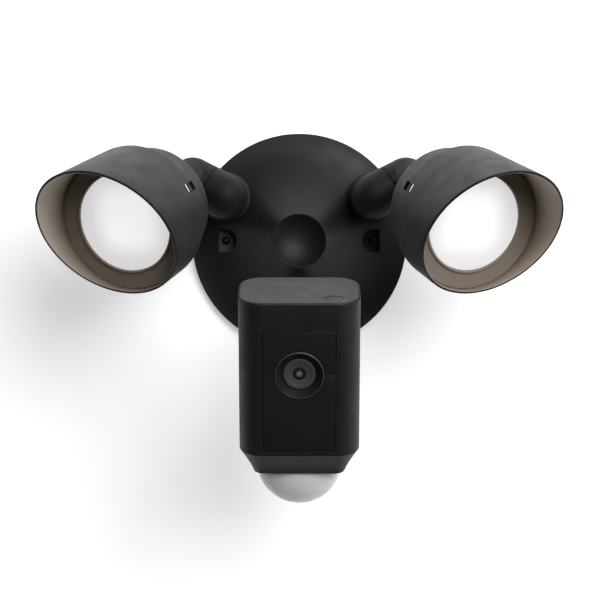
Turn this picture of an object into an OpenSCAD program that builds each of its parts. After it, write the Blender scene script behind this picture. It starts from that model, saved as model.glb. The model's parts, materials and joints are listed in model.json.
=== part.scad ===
// Floodlight security camera: a round wall canopy, two swivelling lamps with
// slanted hoods, and a camera on a ball joint. The origin is on the wall at the
// centre of the canopy, +Z is up, -Y points out of the wall.

/* [Canopy] */
// Outer radius of the canopy
canopy_r = 65; // [64:0.5:68]
// Height of the straight edge above the wall
rim_h = 5; // [4:0.5:6]
// Distance from the wall to the rim of the centre dish
canopy_h = 40; // [37:0.5:43]
// Radius of the centre dish
dish_r = 15.8; // [13:0.2:17]
// Depth of the centre dish
dish_depth = 7; // [5:0.5:8]
// How sharply the canopy flares (1 is a straight cone)
flare = 1.8; // [1.6:0.05:2]
// Thickness of the foam gasket against the wall
gasket_t = 1.8; // [1.4:0.1:2.2]
// Spacing of the canopy screws, and of the bracket's slots for the box screws
screw_spacing = 88.9; // [88.9, 85]

/* [Arm ports] */
// Distance from the centre of the canopy to each port
port_r = 51.5; // [50.5:0.5:52]
// Angle of the lamp ports above the horizontal
port_angle = 30.7; // [28:0.1:33]
// Distance from the wall to the top of the port bosses
boss_h = 20; // [19:0.5:21]
// Height of the collar ring on each boss
collar_h = 4; // [3:0.5:4.5]
// Outer radius of the collar ring
collar_r = 14; // [13.8:0.1:15]
// Radius of the journal that turns in a port
journal_r = 9; // [8:0.2:9.2]

/* [Lamp arms] */
// Radius of the arm tubes
arm_r = 13.4; // [13:0.1:14]
// Distance from the wall to the elbow's corner
elbow_depth = 45; // [43:1:48]
// Distance from the lens plane back to the knuckle
knuckle_back = 85; // [83:0.5:88]
// Width of the visible seam between turning pieces
seam = 0.3; // [0.3:0.05:0.5]

/* [Lamps] */
// Sideways offset of the lens centre
lens_x = 96.15; // [94:0.5:98]
// Distance from the wall to the lens centre
lens_depth = 115; // [113:0.5:117]
// Height of the lens centre above the canopy's centre
lens_z = 9.9; // [8:0.5:12]
// Angle that the lamps point outward
lamp_yaw = 24.4; // [22:0.2:27]
// Angle that the lamps point down
lamp_tilt = 17.6; // [15:0.2:20]
// Outer radius of the hood at the lens plane
hood_r = 40.1; // [39.5:0.1:41]
// Growth of the hood's radius for each millimetre towards its rim
hood_draft = 0.03; // [0.01:0.01:0.04]
// Wall thickness of the hood
hood_wall = 1.6; // [1.4:0.1:1.8]
// Distance from the lens plane to the hood's slanted rim at its middle
rim_mid = 22; // [20:0.5:24]
// Slant of the rim, longest at the top
rim_slant = 24.6; // [20:0.2:26]
// Radius of the visible lens
lens_r = 27.5; // [26:0.1:28]

/* [Camera] */
// Distance from the wall to the housing's top front edge
cam_front = 170; // [168:1:172]
// Height of the housing's top front edge
cam_top = -32.9; // [-34:0.5:-32]
// Angle that the camera points down
cam_tilt = 18; // [16:0.5:20]
// Width of the housing
cam_w = 65; // [64:0.5:67]
// Depth of the housing
cam_d = 43; // [42:0.5:44]
// Height of the housing above the bottom bezel
cam_h = 87; // [86:0.5:88]
// Radius of the housing's upright corners
cam_corner = 13; // [12:0.5:13]
// Height of the bottom bezel
bezel_h = 14; // [13:0.5:15]
// Distance from the wall to the centre of the ball joint
ball_depth = 100.5; // [100:0.1:101]
// Radius of the ball
ball_r = 13; // [12.6:0.1:13]

/* [Hidden] */
$fn = 64;

// Fits shared by every turning joint
fit = 0.05;
shell = 2.4;

// Points of the arms and lamps, on the left (-X) side
port_x = port_r * cos(port_angle);
port_z = port_r * sin(port_angle);
ports = [[-port_x, port_z], [port_x, port_z], [0, -port_r]];
lens_centre = [-lens_x, -lens_depth, lens_z];
lamp_axis = [
    -sin(lamp_yaw) * cos(lamp_tilt),
    -cos(lamp_yaw) * cos(lamp_tilt),
    -sin(lamp_tilt)
];
elbow = [-port_x, -elbow_depth, port_z];
knuckle = lens_centre - knuckle_back * lamp_axis;
link = norm(knuckle - elbow);
link_seam = link / 2;

// Levels above the wall
collar_top = boss_h + collar_h;
journal_foot = 2.5;
nut_seat = 9;
pocket_floor = 7;
pocket_r = 6.75;
pocket_flat = 4.2;
pocket_wall = 1.8;
screw_x = screw_spacing / 2;
board_level = 10;

// ---------------------------------------------------------------- helpers

// Local z points out of the wall, local y points up
module wall_frame() {
    rotate([90, 0, 0])
        children();
}

// Local z runs from p to q
module along(p, q) {
    d = q - p;
    translate(p)
        rotate([0, acos(d[2] / norm(d)), atan2(d[1], d[0])])
            children();
}

// Local z points out of the left lamp, local y points up, origin at the lens
module lamp_frame() {
    translate(lens_centre)
        rotate([90 + lamp_tilt, 0, -lamp_yaw])
            children();
}

// Local y runs back into the housing, z up along it, origin at the top front edge
module camera_frame() {
    translate([0, -cam_front, cam_top])
        rotate([cam_tilt, 0, 0])
            children();
}

// Turns a left piece into the right one
module on_right() {
    mirror([1, 0, 0])
        children();
}

module tube(outer, inner, h) {
    difference() {
        cylinder(r = outer, h = h);
        translate([0, 0, -1])
            cylinder(r = inner, h = h + 2);
    }
}

module rounded_rect(w, h, r) {
    square([w - 2 * r, h], center = true);
    square([w, h - 2 * r], center = true);
    for (x = [-1, 1], y = [-1, 1])
        translate([x * (w / 2 - r), y * (h / 2 - r)])
            circle(r = r);
}

function mirrored(points) = [
    for (i = [len(points) - 1:-1:0]) [-points[i][0], points[i][1]]
];

// Upright solid with a rounded-rectangle plan; each profile point is [inset, height]
module rounded_prism(w, d, r, profile) {
    low = profile[0][1];
    high = profile[len(profile) - 1][1];
    corner = concat([[0, low]], [for (p = profile) [r - p[0], p[1]]], [[0, high]]);
    across = [for (p = profile) [w / 2 - p[0], p[1]]];
    deep = [for (p = profile) [d / 2 - p[0], p[1]]];
    for (x = [-1, 1], y = [-1, 1])
        translate([x * (w / 2 - r), y * (d / 2 - r), 0])
            rotate_extrude()
                polygon(corner);
    rotate([90, 0, 90])
        linear_extrude(w - 2 * r, center = true)
            polygon(concat(deep, mirrored(deep)));
    rotate([90, 0, 0])
        linear_extrude(d - 2 * r, center = true)
            polygon(concat(across, mirrored(across)));
}

// Round screw head with a cross recess, its shaft pointing to -z
module screw(head_r, head_h, shaft_r, shaft_l) {
    difference() {
        union() {
            cylinder(r = head_r, h = head_h);
            translate([0, 0, -shaft_l])
                cylinder(r = shaft_r, h = shaft_l);
        }
        for (a = [0, 90])
            rotate(a)
                translate([0, 0, head_h])
                    cube([head_r * 1.2, head_r * 0.3, head_h], center = true);
    }
}

// ----------------------------------------------------------------- canopy

function canopy_height(r) =
    rim_h + (canopy_h - rim_h) * pow((canopy_r - r) / (canopy_r - dish_r), flare);

function dish_height(r) =
    let (ball = (dish_r * dish_r + dish_depth * dish_depth) / (2 * dish_depth))
    canopy_h - dish_depth + ball - sqrt(ball * ball - r * r);

canopy_steps = 20;
dish_steps = 8;

// Outline of the canopy in radius and height, lowered by a wall thickness
function canopy_outline(t, foot) = concat(
    [[0, foot], [canopy_r - t, foot]],
    [
        for (i = [0:canopy_steps])
            let (r = canopy_r - t - (canopy_r - t - dish_r) * i / canopy_steps)
            [r, canopy_height(r) - t]
    ],
    [
        for (i = [1:dish_steps])
            let (r = dish_r * (1 - i / dish_steps))
            [r, dish_height(r) - t]
    ]
);

// Half circle towards the centre of the canopy, square corners outward
module d_shape(r, flat) {
    polygon(concat(
        [for (a = [-90:7.5:90]) [r * cos(a), r * sin(a)]],
        [[-flat, r], [-flat, -r]]
    ));
}

// Copies a pocket or screw to both sides, flat side outward
module at_screws() {
    for (side = [0, 1])
        mirror([side, 0, 0])
            translate([-screw_x, 0, 0])
                children();
}

module at_ports() {
    for (p = ports)
        translate([p[0], p[1], 0])
            children();
}

post_r = 26;

module at_posts() {
    for (a = [90, 210, 330])
        translate([post_r * cos(a), post_r * sin(a), 0])
            children();
}

module canopy_body() {
    rotate_extrude()
        polygon(canopy_outline(0, gasket_t));
    at_ports()
        translate([0, 0, gasket_t])
            cylinder(r = collar_r + 1, h = boss_h - gasket_t);
}

module canopy_inside() {
    difference() {
        rotate_extrude()
            polygon(canopy_outline(shell, gasket_t - 1));
        at_ports()
            translate([0, 0, -1])
                cylinder(r = collar_r + 1, h = boss_h + 2);
        at_screws()
            translate([0, 0, pocket_floor - shell])
                linear_extrude(canopy_h)
                    d_shape(pocket_r + pocket_wall, pocket_flat + pocket_wall);
        at_posts()
            translate([0, 0, board_level + 1.7])
                cylinder(r = 2.6, h = canopy_h);
    }
}

module canopy() {
    color("#262626")
        wall_frame()
            difference() {
                canopy_body();
                canopy_inside();
                at_screws()
                    translate([0, 0, pocket_floor])
                        linear_extrude(canopy_h)
                            d_shape(pocket_r, pocket_flat);
                at_screws()
                    cylinder(r = 1.7, h = canopy_h);
                at_ports()
                    cylinder(r = journal_r + fit, h = canopy_h);
                at_ports()
                    cylinder(r = arm_r - 0.4, h = nut_seat);
            }
}

module wall_gasket() {
    color("#3a3a3a")
        wall_frame()
            tube(canopy_r - 0.6, 54, gasket_t);
}

module slot(length, width) {
    square([width, length - width], center = true);
    for (side = [-1, 1])
        translate([0, side * (length - width) / 2])
            circle(d = width);
}

ground_at = [-26, -30];

module mounting_bracket() {
    color("#b9bcc0")
        wall_frame()
            difference() {
                cylinder(r = 52.5, h = 1.6);
                translate([0, 0, -1]) {
                    cylinder(r = 16, h = 4);
                    for (side = [-1, 1])
                        translate([0, side * screw_spacing / 2, 0])
                            linear_extrude(4)
                                slot(10, 4.8);
                    at_screws()
                        cylinder(r = insert_r + fit, h = 4);
                    translate(ground_at)
                        cylinder(r = 1.95, h = 4);
                }
            }
}

insert_r = 3;
insert_top = 4.4;

// Threaded inserts pressed into the bracket for the canopy screws
module bracket_inserts() {
    color("#a8abb0")
        wall_frame()
            at_screws()
                difference() {
                    union() {
                        cylinder(r = insert_r, h = insert_top);
                        translate([0, 0, 1.6])
                            cylinder(r = insert_r + 1, h = 1);
                    }
                    translate([0, 0, -1])
                        cylinder(r = 1.5, h = insert_top + 2);
                }
}

screw_head_r = 2.3;

// Dome-headed screws in the two pockets
module canopy_screws() {
    color("#303032")
        wall_frame()
            at_screws()
                translate([0, 0, pocket_floor])
                    difference() {
                        union() {
                            intersection() {
                                cylinder(r = screw_head_r, h = 1.7);
                                translate([0, 0, -1.3])
                                    sphere(r = 3);
                            }
                            translate([0, 0, -pocket_floor + 0.4])
                                cylinder(r = 1.45, h = pocket_floor);
                        }
                        translate([0, 0, 1])
                            cylinder(r = 0.9, h = 2, $fn = 6);
                    }
}

module ground_screw() {
    color("#2f7d46")
        wall_frame()
            translate([ground_at[0], ground_at[1], 1.6])
                screw(3.8, 2, 1.9, 1.5);
}

module power_board() {
    wall_frame() {
        color("#1f5c3a")
            translate([0, 0, board_level])
                difference() {
                    cylinder(r = 31, h = 1.6);
                    at_posts()
                        translate([0, 0, -1])
                            cylinder(r = 1.2, h = 4);
                }
        color("#3c3c3c")
            translate([-18, -6, board_level + 1.6])
                cube([20, 17, 11]);
        color("#355d9a") {
            translate([12, 8, board_level + 1.6])
                cylinder(r = 5, h = 10);
            translate([13, -6, board_level + 1.6])
                cylinder(r = 4, h = 8);
        }
        color("#202020")
            translate([-2, -24, board_level + 1.6])
                cube([9, 7, 2]);
    }
}

module terminal_block() {
    color("#c9c4b4")
        wall_frame()
            difference() {
                translate([-12, -24, board_level - 6.6])
                    cube([24, 11, 6.5]);
                for (x = [-8, 0, 8]) {
                    translate([x, -11, board_level - 3.4])
                        rotate([90, 0, 0])
                            cylinder(r = 1.8, h = 9);
                    translate([x, -20, board_level - 7])
                        cylinder(r = 1.6, h = 4);
                }
            }
}

module port_collars() {
    color("#3b3b3d")
        wall_frame()
            at_ports()
                rotate_extrude()
                    polygon([
                        [journal_r + fit, boss_h],
                        [collar_r, boss_h],
                        [collar_r, collar_top - 0.8],
                        [collar_r - 0.8, collar_top],
                        [journal_r + fit, collar_top]
                    ]);
}

// ------------------------------------------------------------------- arms

// Journal that turns in a port, shared by the arms and the camera stalk
module journal() {
    translate([0, 0, journal_foot])
        cylinder(r = journal_r, h = collar_top - journal_foot + 1);
}

module journal_nut() {
    translate([0, 0, nut_seat - 5.3])
        difference() {
            intersection() {
                cylinder(r = arm_r - 0.9, h = 5);
                cylinder(r = arm_r + 0.6, h = 5, $fn = 6);
            }
            translate([0, 0, -1])
                cylinder(r = journal_r, h = 7);
        }
}

wire_r = 5;
wire_corner_r = 5.4;
pivot_r = 8.5;
pivot_half = 6;
nest_r = arm_r + 0.6;

module arm_elbow() {
    difference() {
        union() {
            wall_frame()
                translate([-port_x, port_z, 0]) {
                    journal();
                    translate([0, 0, collar_top + seam])
                        cylinder(r = arm_r, h = elbow_depth - collar_top - seam);
                }
            translate(elbow)
                sphere(r = arm_r);
            along(elbow, knuckle)
                cylinder(r = arm_r, h = link_seam - seam / 2);
        }
        wall_frame()
            translate([-port_x, port_z, 0])
                cylinder(r = wire_r, h = elbow_depth);
        translate(elbow)
            sphere(r = wire_corner_r);
        along(elbow, knuckle) {
            cylinder(r = wire_r, h = link_seam);
            translate([0, 0, link_seam - pivot_half])
                cylinder(r = pivot_r + fit, h = link);
            translate([0, 0, link_seam - seam / 2])
                cylinder(r = nest_r, h = arm_r);
        }
    }
}

module left_arm_elbow() {
    color("#2a2a2a")
        arm_elbow();
}

module arm_nut() {
    color("#9a9da2")
        wall_frame()
            translate([-port_x, port_z, 0])
                journal_nut();
}

module left_arm_nut() {
    arm_nut();
}

// Hollow pivot that carries the wires through the elbow's turning seam
module pivot_tube() {
    color("#8f9298")
        along(elbow, knuckle)
            translate([0, 0, link_seam - pivot_half])
                difference() {
                    union() {
                        cylinder(r = pivot_r, h = 2 * pivot_half);
                        translate([0, 0, 2 * pivot_half - 2])
                            cylinder(r = pivot_r + 1.6, h = 2);
                    }
                    translate([0, 0, -1])
                        cylinder(r = wire_r, h = 2 * pivot_half + 2);
                }
}

module left_pivot_tube() {
    pivot_tube();
}

neck_r = 13.1;
neck_end = 70;
neck_journal_r = 8;
neck_journal_end = 57;
swivel_seat = 60;
clamp_x = -3;
clamp_reach = 18;

// Local z points down from the knuckle, through the clamp boss
module clamp_frame() {
    lamp_frame()
        translate([clamp_x, 0, -knuckle_back])
            rotate([90, 0, 0])
                children();
}

module knuckle_body() {
    difference() {
        union() {
            along(elbow, knuckle)
                translate([0, 0, link_seam + seam / 2])
                    cylinder(r = arm_r, h = link - link_seam - seam / 2);
            translate(knuckle)
                sphere(r = arm_r + 0.05);
            lamp_frame()
                translate([0, 0, -knuckle_back])
                    cylinder(r = neck_r, h = knuckle_back - neck_end);
            lamp_frame()
                translate([0, 0, -neck_end - 1])
                    cylinder(r = neck_journal_r, h = neck_end - neck_journal_end + 1);
            clamp_frame()
                translate([0, 0, 8])
                    cylinder(r = 4, h = clamp_reach - 8);
        }
        along(elbow, knuckle) {
            translate([0, 0, -arm_r])
                cylinder(r = 2 * arm_r, h = arm_r + link_seam + seam / 2);
            cylinder(r = pivot_r + fit, h = link_seam + pivot_half);
            translate([0, 0, link_seam + pivot_half - 2.4])
                cylinder(r = pivot_r + 1.9, h = 3);
            translate([0, 0, link_seam])
                cylinder(r = wire_r, h = link_seam - 1);
        }
        translate(knuckle)
            sphere(r = wire_corner_r);
        lamp_frame()
            translate([0, 0, -knuckle_back])
                cylinder(r = wire_r, h = knuckle_back);
        clamp_frame() {
            translate([0, 0, 8])
                cylinder(r = 1.5, h = clamp_reach);
            translate([0, 0, clamp_reach - 2.2])
                cylinder(r = 2.9, h = 5);
        }
    }
}

module left_knuckle() {
    color("#2a2a2a")
        knuckle_body();
}

module lock_screw() {
    color("#77797d")
        clamp_frame()
            translate([0, 0, clamp_reach - 2.2])
                screw(2.8, 1.8, 1.45, 7);
}

module left_lock_screw() {
    lock_screw();
}

module swivel_nut() {
    color("#9a9da2")
        lamp_frame()
            translate([0, 0, -swivel_seat + 0.3])
                tube(11, neck_journal_r, 2.6);
}

module left_swivel_nut() {
    swivel_nut();
}

// ------------------------------------------------------------------ lamps

hood_back = 19;
hood_tip = 60;
lip_r = 36.2;
lip_t = 2.2;
back_round = 3;
round_steps = 5;

function hood_outer(t) = hood_r + hood_draft * t;

module hood_shape() {
    inner_back = hood_outer(lip_t - hood_back) - hood_wall;
    rotate_extrude($fn = 96)
        polygon(concat(
            [[lip_r, -hood_back]],
            [
                for (i = [0:round_steps])
                    let (a = 90 * i / round_steps)
                    [
                        hood_outer(-hood_back) - back_round * (1 - sin(a)),
                        -hood_back + back_round * (1 - cos(a))
                    ]
            ],
            [
                [hood_outer(hood_tip), hood_tip],
                [hood_outer(hood_tip) - hood_wall, hood_tip],
                [inner_back, lip_t - hood_back],
                [lip_r, lip_t - hood_back]
            ]
        ));
}

notch_angle = 156;
notch_w = 4.8;
notch_l = 7;

module hood() {
    color("#2b2b2c")
        lamp_frame()
            difference() {
                hood_shape();
                translate([0, 0, rim_mid])
                    rotate([rim_slant, 0, 0])
                        translate([-60, -60, 0])
                            cube([120, 120, 80]);
                rotate(notch_angle)
                    translate([lip_r + 0.6, -notch_w / 2, -hood_back - 1])
                        cube([10, notch_w, notch_l + 1]);
            }
}

module left_hood() {
    hood();
}

cap_taper_r = 33;
cap_taper_end = 36;
cap_neck_end = 58;
cap_steps = 10;
cap_front = 1.6;
spigot_r = 37.7;

// Bell-shaped back of the lamp, from the tapered drum down to the neck
function bell(t, drum, neck) = neck + (drum - neck) * (1 + cos(180 * t)) / 2;

screw_ring = 23;
screw_seat = 44;

module at_lamp_screws() {
    for (a = [90, 210, 330])
        rotate(a)
            translate([screw_ring, 0, 0])
                children();
}

module cap_outer() {
    rotate_extrude()
        polygon(concat(
            [[0, -neck_end + seam], [neck_r, -neck_end + seam]],
            [
                for (i = [cap_steps:-1:0])
                    let (s = i / cap_steps)
                    [
                        bell(s, cap_taper_r, neck_r),
                        -cap_taper_end - s * (cap_neck_end - cap_taper_end)
                    ]
            ],
            [
                [lip_r - 0.2, -hood_back - 0.4],
                [lip_r - 0.2, -hood_back + lip_t + 0.1],
                [spigot_r, -hood_back + lip_t + 0.1],
                [spigot_r, -cap_front],
                [0, -cap_front]
            ]
        ));
}

module cap_inner() {
    rotate_extrude()
        polygon(concat(
            [[0, -swivel_seat], [11.3, -swivel_seat]],
            [
                for (i = [cap_steps - 1:-1:0])
                    let (s = i / cap_steps)
                    [
                        bell(s, cap_taper_r - shell, 11.3),
                        -cap_taper_end + 2 - s * (cap_neck_end - cap_taper_end)
                    ]
            ],
            [
                [lip_r - shell, -hood_back],
                [lip_r - shell, -hood_back + lip_t + 2],
                [35.8, -hood_back + lip_t + 2],
                [35.8, 1],
                [0, 1]
            ]
        ));
}

module rear_cap() {
    color("#242425")
        lamp_frame()
            difference() {
                cap_outer();
                difference() {
                    cap_inner();
                    at_lamp_screws()
                        translate([0, 0, -60])
                            cylinder(r = 4.6, h = 26);
                }
                translate([0, 0, -neck_end])
                    cylinder(r = neck_journal_r + fit, h = 20);
                at_lamp_screws() {
                    translate([0, 0, -70])
                        cylinder(r = 3.1, h = 70 - screw_seat);
                    translate([0, 0, -60])
                        cylinder(r = 1.6, h = 30);
                }
            }
}

module left_rear_cap() {
    rear_cap();
}

sink_front = 18;
sink_disc = 4;
fin_end = 33;

module heat_sink() {
    color("#b4b6b9")
        lamp_frame()
            difference() {
                union() {
                    translate([0, 0, -sink_front - sink_disc])
                        cylinder(r = 33, h = sink_disc);
                    intersection() {
                        translate([0, 0, -fin_end])
                            cylinder(r = 29, h = fin_end - sink_front);
                        for (x = [-24:6:24])
                            translate([x - 0.9, -40, -fin_end])
                                cube([1.8, 80, fin_end - sink_front - 1]);
                    }
                }
                at_lamp_screws()
                    translate([0, 0, -40])
                        cylinder(r = 1.6, h = 40);
                translate([0, 0, -60])
                    cylinder(r = 3, h = 60);
            }
}

module left_heat_sink() {
    heat_sink();
}

led_size = 3.2;
led_ring = 8;

module led_board() {
    lamp_frame() {
        color("#e4e6e4")
            translate([0, 0, -sink_front])
                cylinder(r = 24, h = 1.6);
        color("#e8c95a")
            translate([0, 0, -sink_front + 1.6]) {
                translate([-led_size / 2, -led_size / 2, 0])
                    cube([led_size, led_size, 0.9]);
                for (a = [0:45:315])
                    rotate(a)
                        translate([led_ring - led_size / 2, -led_size / 2, 0])
                            cube([led_size, led_size, 0.9]);
            }
    }
}

module left_led_board() {
    led_board();
}

module reflector() {
    color("#eceef0")
        lamp_frame()
            rotate_extrude()
                polygon([
                    [12, -15.2],
                    [27.2, -4.8],
                    [28.2, -4.2],
                    [35.6, -4.2],
                    [35.6, -5.4],
                    [28.6, -5.4],
                    [13.2, -16.2],
                    [12, -16.2]
                ]);
}

module left_reflector() {
    reflector();
}

module lens_gasket() {
    color("#1c1c1c")
        lamp_frame()
            translate([0, 0, -4.2])
                tube(31.4, 28.6, 1.2);
}

module left_lens_gasket() {
    lens_gasket();
}

lens_edge = 0.5;
lens_crown = 1.3;
lens_steps = 8;

module lens() {
    color("#f2f1ee")
        lamp_frame()
            rotate_extrude()
                polygon(concat(
                    [[0, -3], [31.4, -3], [31.4, -1.7], [lens_r, -1.7]],
                    [
                        for (i = [0:lens_steps])
                            let (s = 1 - i / lens_steps)
                            [lens_r * s, lens_edge + lens_crown * (1 - s * s)]
                    ]
                ));
}

module left_lens() {
    lens();
}

module bezel() {
    color("#5a5048")
        lamp_frame()
            rotate_extrude()
                polygon([
                    [lens_r + 0.4, -1.6],
                    [38.2, -1.6],
                    [38.2, 0],
                    [lens_r + 2, 0],
                    [lens_r + 1.4, 1.1],
                    [lens_r + 0.4, 1.1]
                ]);
}

module left_bezel() {
    bezel();
}

module lamp_screws() {
    color("#303032")
        lamp_frame()
            at_lamp_screws()
                translate([0, 0, -screw_seat])
                    mirror([0, 0, 1])
                        screw(2.9, 2, 1.5, 25);
}

module left_lamp_screws() {
    lamp_screws();
}

// ----------------------------------------------------------- right lamp

module right_arm_elbow() {
    on_right()
        left_arm_elbow();
}

module right_arm_nut() {
    on_right()
        arm_nut();
}

module right_pivot_tube() {
    on_right()
        pivot_tube();
}

module right_knuckle() {
    on_right()
        left_knuckle();
}

module right_lock_screw() {
    on_right()
        lock_screw();
}

module right_swivel_nut() {
    on_right()
        swivel_nut();
}

module right_rear_cap() {
    on_right()
        rear_cap();
}

module right_heat_sink() {
    on_right()
        heat_sink();
}

module right_led_board() {
    on_right()
        led_board();
}

module right_reflector() {
    on_right()
        reflector();
}

module right_lens_gasket() {
    on_right()
        lens_gasket();
}

module right_lens() {
    on_right()
        lens();
}

module right_bezel() {
    on_right()
        bezel();
}

module right_hood() {
    on_right()
        hood();
}

module right_lamp_screws() {
    on_right()
        lamp_screws();
}

// ----------------------------------------------------- stalk and ball joint

stalk_r = 9;
ball_neck_r = 5;
liner_t = 1.45;
socket_r = ball_r + liner_t + 0.11;
socket_outer = 18.5;

module stalk_port() {
    wall_frame()
        translate([0, -port_r, 0])
            children();
}

module camera_stalk() {
    color("#2a2a2a")
        stalk_port()
            difference() {
                union() {
                    journal();
                    rotate_extrude()
                        polygon([
                            [0, collar_top + seam],
                            [arm_r, collar_top + seam],
                            [arm_r, 31],
                            [stalk_r, 44],
                            [stalk_r, ball_depth - 19],
                            [ball_neck_r, ball_depth - 14.5],
                            [ball_neck_r, ball_depth],
                            [0, ball_depth]
                        ]);
                    translate([0, 0, ball_depth])
                        sphere(r = ball_r);
                }
                cylinder(r = wire_r, h = ball_depth - 20);
                cylinder(r = 2.5, h = ball_depth + 20);
            }
}

module stalk_nut() {
    color("#9a9da2")
        stalk_port()
            journal_nut();
}

liner_back = 6.6;
liner_front = 8;

// Slip cup between the ball and the socket
module ball_liner() {
    color("#8a8478")
        stalk_port()
            translate([0, 0, ball_depth])
                intersection() {
                    difference() {
                        sphere(r = ball_r + fit + liner_t);
                        sphere(r = ball_r + fit);
                    }
                    translate([-20, -20, -liner_back])
                        cube([40, 40, liner_back + liner_front]);
                }
}

// Ball centre in the camera's own frame
ball_back = (cam_front - ball_depth) * cos(cam_tilt) - (port_r + cam_top) * sin(cam_tilt);
ball_up = -(cam_front - ball_depth) * sin(cam_tilt) - (port_r + cam_top) * cos(cam_tilt);

// Local z points out of the camera's back
module socket_frame() {
    camera_frame()
        translate([0, ball_back, ball_up])
            rotate([-90, 0, 0])
                children();
}

ring_back = 6.8;

module clamp_ring() {
    color("#2d2d2e")
        socket_frame()
            difference() {
                translate([0, 0, 0.2])
                    cylinder(r = socket_outer, h = ring_back - 0.2);
                sphere(r = socket_r);
                for (a = [0:30:330])
                    rotate(a)
                        translate([socket_outer + 0.9, 0, -1])
                            cylinder(r = 1.8, h = 10, $fn = 24);
            }
}

// --------------------------------------------------------- camera housing

cover_w = 38;
cover_h = 74;
cover_z = -40;
cover_t = 2.4;
seal_t = 0.8;
cover_foot = cam_d + seal_t;

// Local z points backwards out of the housing's back face
module back_frame() {
    camera_frame()
        translate([0, 0, cover_z])
            rotate([-90, 0, 0])
                children();
}

module at_cover_screws() {
    for (x = [-1, 1], y = [-1, 1])
        translate([x * (cover_w / 2 - 4), y * (cover_h / 2 - 4), 0])
            children();
}

module back_cover() {
    color("#2a2a2b")
        difference() {
            union() {
                back_frame()
                    translate([0, 0, cover_foot])
                        linear_extrude(cover_t)
                            rounded_rect(cover_w, cover_h, 5);
                socket_frame()
                    translate([0, 0, cover_foot + 1 - ball_back])
                        cylinder(r = socket_outer, h = ball_back - cover_foot - 1);
            }
            socket_frame() {
                sphere(r = socket_r);
                translate([0, 0, -30])
                    cylinder(r = 3, h = 30);
            }
            back_frame()
                at_cover_screws()
                    translate([0, 0, cover_foot - 1])
                        cylinder(r = 1.6, h = 6);
        }
}

module housing_seal() {
    color("#151515")
        back_frame()
            translate([0, 0, cam_d])
                linear_extrude(seal_t)
                    difference() {
                        rounded_rect(cover_w - 1, cover_h - 1, 4.5);
                        rounded_rect(cover_w - 14, cover_h - 14, 4);
                        at_cover_screws()
                            circle(r = 1.6);
                    }
}

module housing_screws() {
    color("#6f7175")
        back_frame()
            at_cover_screws()
                translate([0, 0, cover_foot + cover_t])
                    screw(2.7, 1.6, 1.3, 9);
}

front_wall = 3.6;
window_w = 38.6;
window_top = 15.9;
window_bottom = 83.9;
window_t = 1.6;
lens_down = 40.5;
ring_r = 13.2;
button_x = 18.4;
button_y = 7.5;
button_r = 5;
button_flange_r = 6.2;
edge_bevel = 0.8;

// Local z points into the housing along the lens axis
module lens_frame() {
    camera_frame()
        translate([0, 0, -lens_down])
            rotate([-90, 0, 0])
                children();
}

module camera_housing() {
    color("#232324")
        camera_frame()
            difference() {
                translate([0, cam_d / 2, 0])
                    rounded_prism(cam_w, cam_d, cam_corner, [
                        [0, seam - cam_h],
                        [0, -edge_bevel],
                        [edge_bevel, 0]
                    ]);
                difference() {
                    translate([0, (cam_d + front_wall - shell) / 2, 0])
                        rounded_prism(
                            cam_w - 2 * shell,
                            cam_d - shell - front_wall,
                            cam_corner - shell,
                            [[0, -cam_h - 1], [0, -shell]]
                        );
                    translate([0, 0, cover_z])
                        rotate([-90, 0, 0])
                            at_cover_screws()
                                translate([0, 0, 33])
                                    cylinder(r = 3, h = 10);
                }
                translate([-window_w / 2 - 0.3, -1, -window_bottom - 0.3])
                    cube([window_w + 0.6, 1 + window_t + 0.1, window_bottom - window_top + 0.6]);
                translate([-13, -1, -32])
                    cube([26, 10, 12]);
                translate([0, -1, -lens_down])
                    rotate([-90, 0, 0])
                        cylinder(r = ring_r + 0.8, h = 10);
                translate([0, 30, cover_z])
                    rotate([-90, 0, 0])
                        linear_extrude(20)
                            rounded_rect(cover_w - 14, cover_h - 14, 4);
                translate([0, 0, cover_z])
                    rotate([-90, 0, 0])
                        at_cover_screws()
                            translate([0, 0, 32])
                                cylinder(r = 1.3, h = 12);
                translate([button_x, button_y, -10])
                    cylinder(r = button_r + fit, h = 20);
                translate([button_x, button_y, -10])
                    cylinder(r = button_flange_r + 0.3, h = 10 - shell);
            }
}

module window_part(top, bottom) {
    color("#0e0e10")
        camera_frame()
            difference() {
                translate([-window_w / 2, 0.05, -bottom])
                    cube([window_w, window_t, bottom - top]);
                translate([0, -1, -lens_down])
                    rotate([-90, 0, 0])
                        cylinder(r = ring_r + 0.3, h = 10);
            }
}

module upper_window() {
    window_part(window_top, lens_down - 0.15);
}

module lower_window() {
    window_part(lens_down + 0.15, window_bottom);
}

barrel_r = 8.6;
glass_r = 4.7;

module lens_ring() {
    color("#3a3a3c")
        lens_frame()
            rotate_extrude()
                polygon([
                    [ring_r - 0.5, -0.6],
                    [ring_r, -0.3],
                    [ring_r, window_t + 0.2],
                    [ring_r + 0.6, window_t + 0.2],
                    [ring_r + 0.6, 8],
                    [barrel_r + 0.1, 8],
                    [barrel_r + 0.1, 2.4],
                    [ring_r - 0.9, 0]
                ]);
}

module lens_barrel() {
    color("#4d4d50")
        lens_frame()
            rotate_extrude()
                polygon([
                    [barrel_r, 1.6],
                    [barrel_r, 16],
                    [3, 16],
                    [3, 4.6],
                    [glass_r, 4.6],
                    [glass_r, 2.6]
                ]);
}

module lens_glass() {
    color("#15161c")
        lens_frame()
            intersection() {
                translate([0, 0, 2])
                    cylinder(r = glass_r - 0.1, h = 2.6);
                translate([0, 0, 2 + 9])
                    sphere(r = 9);
            }
}

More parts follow.
